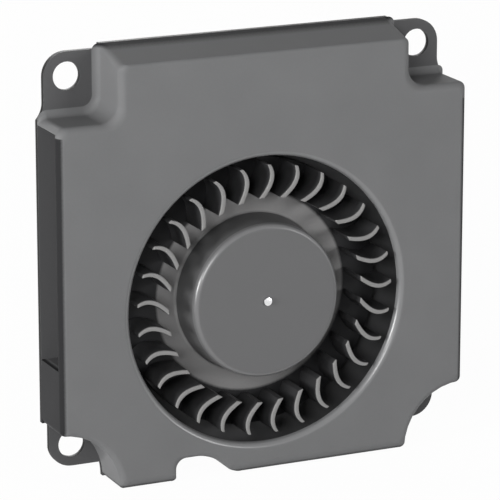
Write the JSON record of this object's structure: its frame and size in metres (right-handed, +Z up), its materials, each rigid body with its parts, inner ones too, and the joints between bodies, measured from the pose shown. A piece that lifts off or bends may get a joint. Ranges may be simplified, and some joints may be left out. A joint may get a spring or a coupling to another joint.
{
  "type": "dc blower fan",
  "caption": "Flat square DC blower: round front inlet around a hub with forward-curved blades, side outlet, thin rear plate with corner screw ears.",
  "frame": {"origin": "the impeller's axis where it meets the rear mounting plane", "axes": "+X to the right seen from the inlet, +Z up, +Y out of the rear mounting face; the inlet faces -Y and the outlet -X"},
  "size_m": [0.075, 0.0104, 0.075],
  "materials": {
    "rear_plate": "satin black moulded plate",
    "front_cover": "satin dark grey moulding",
    "rear_seal_disc": "plain silver-grey film disc",
    "bearing_tube": "turned brass",
    "thrust_pad": "natural nylon",
    "shaft_retainer": "natural nylon washer",
    "sleeve_bearing": "sintered bronze",
    "oil_seal_washer": "white film washer",
    "stator_core": "stacked steel laminations",
    "stator_insulator_front": "natural white moulding",
    "stator_insulator_rear": "natural white moulding",
    "stator_windings": "enamelled copper wire",
    "terminal_pins": "tinned pins",
    "circuit_board": "green solder mask",
    "hall_sensor": "black moulded package",
    "driver_chip": "black moulded package, blank",
    "chip_capacitors": "tan ceramic chips with tinned ends",
    "chip_resistors": "black chips with tinned ends",
    "lead_pads": "solder",
    "impeller_hub": "satin dark grey moulding",
    "impeller_web": "smooth dark grey moulding",
    "impeller_blades": "satin dark grey moulding",
    "rotor_yoke": "zinc-plated pressed steel",
    "ring_magnet": "bonded ferrite",
    "shaft": "ground steel"
  },
  "bodies": {
    "housing": {"rear_plate": "rear_plate", "front_cover": "front_cover", "rear_seal_disc": "rear_seal_disc", "bearing_tube": "bearing_tube", "thrust_pad": "thrust_pad", "shaft_retainer": "shaft_retainer", "sleeve_bearing": "sleeve_bearing", "oil_seal_washer": "oil_seal_washer", "stator_core": "stator_core", "stator_insulator_front": "stator_insulator_front", "stator_insulator_rear": "stator_insulator_rear", "stator_windings": "stator_windings", "terminal_pins": "terminal_pins", "circuit_board": "circuit_board", "hall_sensor": "hall_sensor", "driver_chip": "driver_chip", "chip_capacitors": "chip_capacitors", "chip_resistors": "chip_resistors", "lead_pads": "lead_pads"},
    "rotor": {"impeller_hub": "impeller_hub", "impeller_web": "impeller_web", "impeller_blades": "impeller_blades", "rotor_yoke": "rotor_yoke", "ring_magnet": "ring_magnet", "shaft": "shaft"}
  },
  "joints": [
    {"name": "impeller_spin", "type": "hinge", "parent": "housing", "child": "rotor", "pos_m": [0, 0, 0], "axis": [0, -1, 0], "continuous": true}
  ]
}
